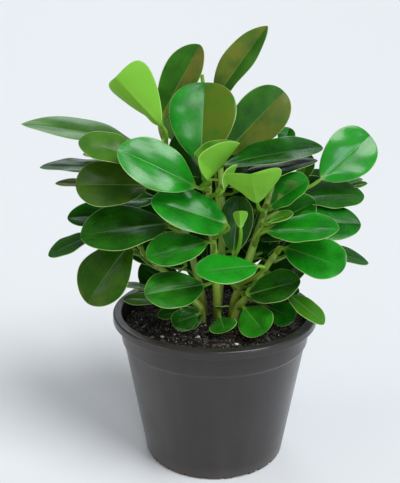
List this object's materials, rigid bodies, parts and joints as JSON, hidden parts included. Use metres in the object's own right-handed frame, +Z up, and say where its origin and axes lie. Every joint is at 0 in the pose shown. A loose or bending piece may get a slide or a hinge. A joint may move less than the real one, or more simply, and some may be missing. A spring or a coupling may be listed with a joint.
{
  "type": "potted baby rubber plant",
  "caption": "Baby rubber plant with glossy, fleshy oval leaves on short green stems, growing from potting mix in a round tapered black plastic nursery pot.",
  "frame": {"origin": "centre of the pot's underside, on the flat middle foot that it stands on", "axes": "+Z up along the pot's axis, +X to the plant's right and +Y to its back, as seen from the front"},
  "size_m": [0.2535, 0.1638, 0.312],
  "materials": {
    "pot_plastic": "satin black moulded plastic",
    "potting_mix": "moist dark bark and peat crumbs with white perlite",
    "stem_green": "smooth, fleshy, slightly translucent green stem",
    "leaf_mature": "glossy, waxy mid-green leaf with a pale margin",
    "leaf_dark": "glossy, waxy dark green leaf with a pale margin",
    "leaf_olive": "satin olive-green leaf with a pale margin",
    "leaf_young": "satin light green young leaf"
  },
  "bodies": {
    "root": {"pot": "pot_plastic", "potting_mix": "potting_mix", "stem_centre": "stem_green", "stem_right": "stem_green", "stem_right_low": "stem_green", "stem_left_low": "stem_green", "stem_left": "stem_green", "stem_back": "stem_green", "stem_back_right": "stem_green", "leaf_top_right": "leaf_olive", "leaf_top_middle": "leaf_olive", "leaf_young_trumpet": "leaf_young", "leaf_centre_upright": "leaf_mature", "leaf_upper_right": "leaf_olive", "leaf_front_glossy": "leaf_mature", "leaf_young_cup": "leaf_young", "leaf_young_rolled": "leaf_young", "leaf_right_shelf": "leaf_dark", "leaf_right_under": "leaf_dark", "leaf_right_far": "leaf_mature", "leaf_right_bud": "leaf_young", "leaf_young_fan": "leaf_young", "leaf_right_curled": "leaf_mature", "leaf_right_upper": "leaf_dark", "leaf_right_back": "leaf_olive", "leaf_right_middle": "leaf_mature", "leaf_right_front": "leaf_mature", "leaf_right_lower": "leaf_mature", "leaf_right_low_back": "leaf_dark", "leaf_centre_inner": "leaf_dark", "leaf_front_bud": "leaf_young", "leaf_below_glossy": "leaf_mature", "leaf_front_middle": "leaf_mature", "leaf_front_left": "leaf_mature", "leaf_front_right_dark": "leaf_dark", "leaf_left_big": "leaf_dark", "leaf_left_inner": "leaf_mature", "leaf_left_drooping": "leaf_mature", "leaf_left_behind": "leaf_dark", "leaf_left_small": "leaf_dark", "leaf_left_middle": "leaf_dark", "leaf_left_hidden": "leaf_dark", "leaf_left_olive": "leaf_olive", "leaf_left_narrow": "leaf_olive", "leaf_left_top": "leaf_olive", "leaf_left_striped": "leaf_olive", "leaf_rim_right": "leaf_young", "leaf_low_round": "leaf_mature", "leaf_low_right": "leaf_mature", "leaf_low_front": "leaf_mature", "leaf_low_left": "leaf_mature", "leaf_rim_left": "leaf_olive", "leaf_rim_left_low": "leaf_olive", "leaf_back_low": "leaf_mature", "leaf_back_left_low": "leaf_mature", "leaf_back_middle": "leaf_mature", "leaf_back_left_high": "leaf_olive", "leaf_back_right_high": "leaf_mature", "leaf_back_right_low": "leaf_mature", "leaf_back_rim": "leaf_dark"}
  },
  "joints": []
}
